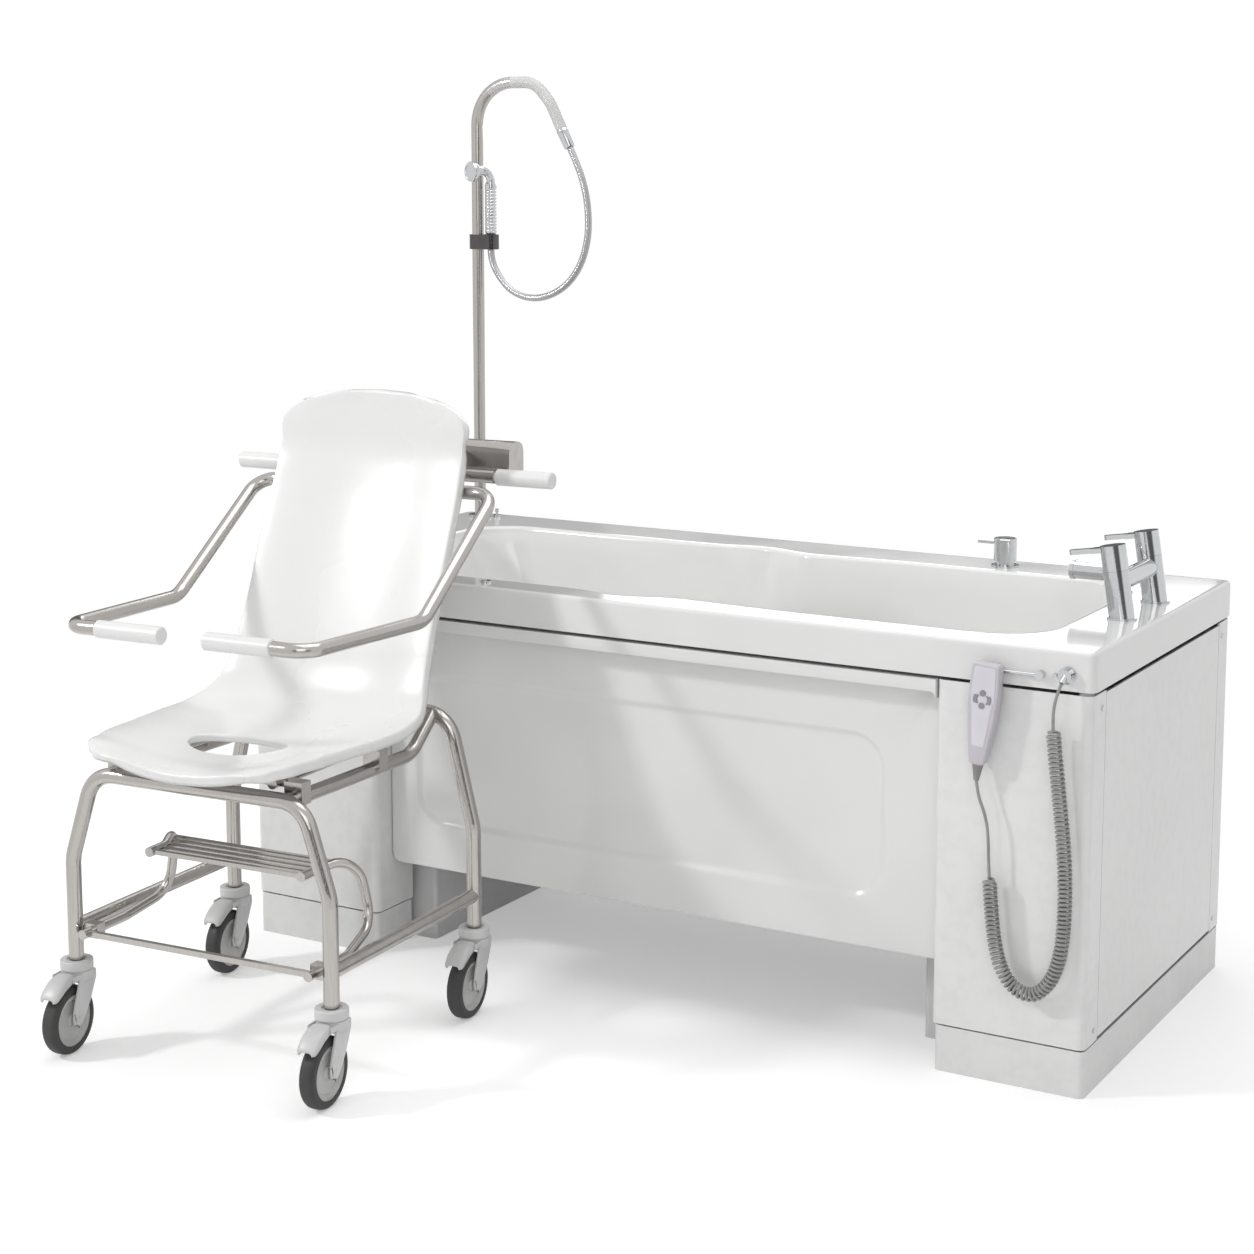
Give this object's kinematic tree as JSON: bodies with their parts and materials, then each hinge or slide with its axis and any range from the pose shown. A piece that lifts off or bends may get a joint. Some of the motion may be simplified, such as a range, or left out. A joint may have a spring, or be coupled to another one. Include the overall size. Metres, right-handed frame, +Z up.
{
  "type": "height-adjustable assisted bath",
  "caption": "White acrylic assisted bath on two lift columns, with deck taps, a shower pole, a corded handset and a stainless transfer chair on castors.",
  "frame": {"origin": "bottom centre of the set's bounding box, on the floor", "axes": "+X along the bath towards the tap end, +Y towards the back of the bath, +Z up"},
  "size_m": [1.8, 1.5706, 1.78],
  "materials": {
    "acrylic": "polished white acrylic",
    "panel_white": "smooth semi-gloss white sheet",
    "plinth_white": "satin white",
    "shroud_white": "satin white",
    "frame_paint": "powder coat",
    "column_aluminium": "anodised satin",
    "actuator_plastic": "fine grain",
    "screw_steel": "satin",
    "chrome_fittings": "mirror bright",
    "stainless_tube": "fine polished",
    "ribbed_plastic": "ribbed",
    "hose_plastic": "smooth",
    "clamp_plastic": "bright",
    "handset_grey": "fine grain",
    "handset_membrane": "satin membrane",
    "button_plastic": "satin",
    "cord_plastic": "satin",
    "seat_moulding": "smooth",
    "grip_plastic": "smooth",
    "castor_plastic": "smooth",
    "pedal_plastic": "smooth",
    "tyre_rubber": "satin",
    "hub_plastic": "smooth"
  },
  "bodies": {
    "base": {"base_frame": "frame_paint", "plinths": "plinth_white", "lower_shrouds": "shroud_white", "column_outers": "column_aluminium", "lift_actuators": "actuator_plastic"},
    "bath_lift": {"tub": "acrylic", "side_panels": "panel_white", "pedestal_covers": "panel_white", "end_panels": "panel_white", "panel_screws": "screw_steel", "lift_frame": "frame_paint", "column_inners": "column_aluminium", "upper_shrouds": "shroud_white", "tub_fittings": "chrome_fittings", "mixer_body": "chrome_fittings", "shower_pole": "stainless_tube", "pole_conduit": "ribbed_plastic", "handset_fittings": "chrome_fittings", "cord_upper": "cord_plastic", "cord_coil": "cord_plastic"},
    "near_lever": {"tap_lever_near": "chrome_fittings"},
    "far_lever": {"tap_lever_far": "chrome_fittings"},
    "diverter": {"diverter_knob": "chrome_fittings"},
    "slider": {"shower_slider": "clamp_plastic"},
    "shower_hand": {"hand_shower": "chrome_fittings", "shower_hose": "hose_plastic"},
    "handset": {"handset_body": "handset_grey", "handset_face": "handset_membrane", "cord_lower": "cord_plastic"},
    "up_button": {"button_up": "button_plastic"},
    "down_button": {"button_down": "button_plastic"},
    "left_button": {"button_left": "button_plastic"},
    "right_button": {"button_right": "button_plastic"},
    "chair": {"leg_frames": "stainless_tube", "chair_rails": "stainless_tube"},
    "seat_unit": {"seat_shell": "seat_moulding", "seat_frame": "stainless_tube", "dock_channel": "stainless_tube", "push_grips": "grip_plastic"},
    "right_arm": {"arm_right": "stainless_tube", "arm_grip_right": "grip_plastic"},
    "left_arm": {"arm_left": "stainless_tube", "arm_grip_left": "grip_plastic"},
    "foot_slide": {"footrest": "stainless_tube"},
    "fork_front_left": {"castor_fork_front_left": "castor_plastic"},
    "brake_front_left": {"castor_pedal_front_left": "pedal_plastic"},
    "wheel_front_left": {"castor_tyre_front_left": "tyre_rubber", "castor_hub_front_left": "hub_plastic"},
    "fork_front_right": {"castor_fork_front_right": "castor_plastic"},
    "brake_front_right": {"castor_pedal_front_right": "pedal_plastic"},
    "wheel_front_right": {"castor_tyre_front_right": "tyre_rubber", "castor_hub_front_right": "hub_plastic"},
    "fork_rear_left": {"castor_fork_rear_left": "castor_plastic"},
    "brake_rear_left": {"castor_pedal_rear_left": "pedal_plastic"},
    "wheel_rear_left": {"castor_tyre_rear_left": "tyre_rubber", "castor_hub_rear_left": "hub_plastic"},
    "fork_rear_right": {"castor_fork_rear_right": "castor_plastic"},
    "brake_rear_right": {"castor_pedal_rear_right": "pedal_plastic"},
    "wheel_rear_right": {"castor_tyre_rear_right": "tyre_rubber", "castor_hub_rear_right": "hub_plastic"}
  },
  "joints": [
    {"name": "lift", "type": "slide", "parent": "base", "child": "bath_lift", "axis": [0, 0, 1], "range_m": [0, 0.19]},
    {"name": "near_lever_turn", "type": "hinge", "parent": "bath_lift", "child": "near_lever", "pos_m": [0.839, 0.30034, 0.783], "axis": [-0.1564, 0, 0.9877], "range_deg": [0, 90]},
    {"name": "far_lever_turn", "type": "hinge", "parent": "bath_lift", "child": "far_lever", "pos_m": [0.839, 0.49034, 0.783], "axis": [-0.1564, 0, 0.9877], "range_deg": [-90, 0]},
    {"name": "diverter_turn", "type": "hinge", "parent": "bath_lift", "child": "diverter", "pos_m": [0.458, 0.70734, 0.8], "axis": [0, 0, 1], "range_deg": [-45, 45]},
    {"name": "slider_height", "type": "slide", "parent": "bath_lift", "child": "slider", "axis": [0, 0, 1], "range_m": [-0.35, 0.06]},
    {"name": "hand_shower_lift", "type": "slide", "parent": "slider", "child": "shower_hand", "axis": [0, 0, 1], "range_m": [0, 0.05], "deforming": ["shower_hose"]},
    {"name": "handset_lift", "type": "slide", "parent": "bath_lift", "child": "handset", "axis": [0, 0, 1], "range_m": [0, 0.015], "deforming": ["cord_lower"]},
    {"name": "press_up", "type": "slide", "parent": "handset", "child": "up_button", "axis": [0, 1, 0], "range_m": [0, 0.0008], "stiffness_N_per_m": 500, "springref_m": -0.0005},
    {"name": "press_down", "type": "slide", "parent": "handset", "child": "down_button", "axis": [0, 1, 0], "range_m": [0, 0.0008], "stiffness_N_per_m": 500, "springref_m": -0.0005},
    {"name": "press_left", "type": "slide", "parent": "handset", "child": "left_button", "axis": [0, 1, 0], "range_m": [0, 0.0008], "stiffness_N_per_m": 500, "springref_m": -0.0005},
    {"name": "press_right", "type": "slide", "parent": "handset", "child": "right_button", "axis": [0, 1, 0], "range_m": [0, 0.0008], "stiffness_N_per_m": 500, "springref_m": -0.0005},
    {"name": "chair_roll", "type": "slide", "parent": "base", "child": "chair", "axis": [0.0593, -0.9982, 0], "range_m": [0, 0.5]},
    {"name": "seat_lift_off", "type": "slide", "parent": "chair", "child": "seat_unit", "axis": [0, 0, 1], "range_m": [0, 0.3]},
    {"name": "right_arm_fold", "type": "hinge", "parent": "seat_unit", "child": "right_arm", "pos_m": [-0.36542, -0.08458, 0.976], "axis": [-0.9982, -0.0593, 0], "range_deg": [0, 95]},
    {"name": "left_arm_fold", "type": "hinge", "parent": "seat_unit", "child": "left_arm", "pos_m": [-0.68486, -0.10356, 0.976], "axis": [-0.9982, -0.0593, 0], "range_deg": [0, 95]},
    {"name": "footrest_slide", "type": "slide", "parent": "chair", "child": "foot_slide", "axis": [0.0593, -0.9982, 0], "range_m": [0, 0.06]},
    {"name": "swivel_front_left", "type": "hinge", "parent": "chair", "child": "fork_front_left", "pos_m": [-0.76608, -0.69241, 0.15], "axis": [0, 0, 1], "continuous": true},
    {"name": "roll_front_left", "type": "hinge", "parent": "fork_front_left", "child": "wheel_front_left", "pos_m": [-0.76274, -0.72222, 0.0625], "axis": [0.9938, 0.1115, 0], "continuous": true},
    {"name": "brake_press_front_left", "type": "hinge", "parent": "fork_front_left", "child": "brake_front_left", "pos_m": [-0.76196, -0.72918, 0.142], "axis": [0.9938, 0.1115, 0], "range_deg": [0, 10]},
    {"name": "swivel_front_right", "type": "hinge", "parent": "chair", "child": "fork_front_right", "pos_m": [-0.21505, -0.65967, 0.15], "axis": [0, 0, 1], "continuous": true},
    {"name": "roll_front_right", "type": "hinge", "parent": "fork_front_right", "child": "wheel_front_right", "pos_m": [-0.21171, -0.68949, 0.0625], "axis": [0.9938, 0.1115, 0], "continuous": true},
    {"name": "brake_press_front_right", "type": "hinge", "parent": "fork_front_right", "child": "brake_front_right", "pos_m": [-0.21093, -0.69644, 0.142], "axis": [0.9938, 0.1115, 0], "range_deg": [0, 10]},
    {"name": "swivel_rear_left", "type": "hinge", "parent": "chair", "child": "fork_rear_left", "pos_m": [-0.79455, -0.21326, 0.15], "axis": [0, 0, 1], "continuous": true},
    {"name": "roll_rear_left", "type": "hinge", "parent": "fork_rear_left", "child": "wheel_rear_left", "pos_m": [-0.7912, -0.24307, 0.0625], "axis": [0.9938, 0.1115, 0], "continuous": true},
    {"name": "brake_press_rear_left", "type": "hinge", "parent": "fork_rear_left", "child": "brake_rear_left", "pos_m": [-0.79042, -0.25002, 0.142], "axis": [0.9938, 0.1115, 0], "range_deg": [0, 10]},
    {"name": "swivel_rear_right", "type": "hinge", "parent": "chair", "child": "fork_rear_right", "pos_m": [-0.24352, -0.18052, 0.15], "axis": [0, 0, 1], "continuous": true},
    {"name": "roll_rear_right", "type": "hinge", "parent": "fork_rear_right", "child": "wheel_rear_right", "pos_m": [-0.24017, -0.21033, 0.0625], "axis": [0.9938, 0.1115, 0], "continuous": true},
    {"name": "brake_press_rear_right", "type": "hinge", "parent": "fork_rear_right", "child": "brake_rear_right", "pos_m": [-0.23939, -0.21729, 0.142], "axis": [0.9938, 0.1115, 0], "range_deg": [0, 10]}
  ]
}
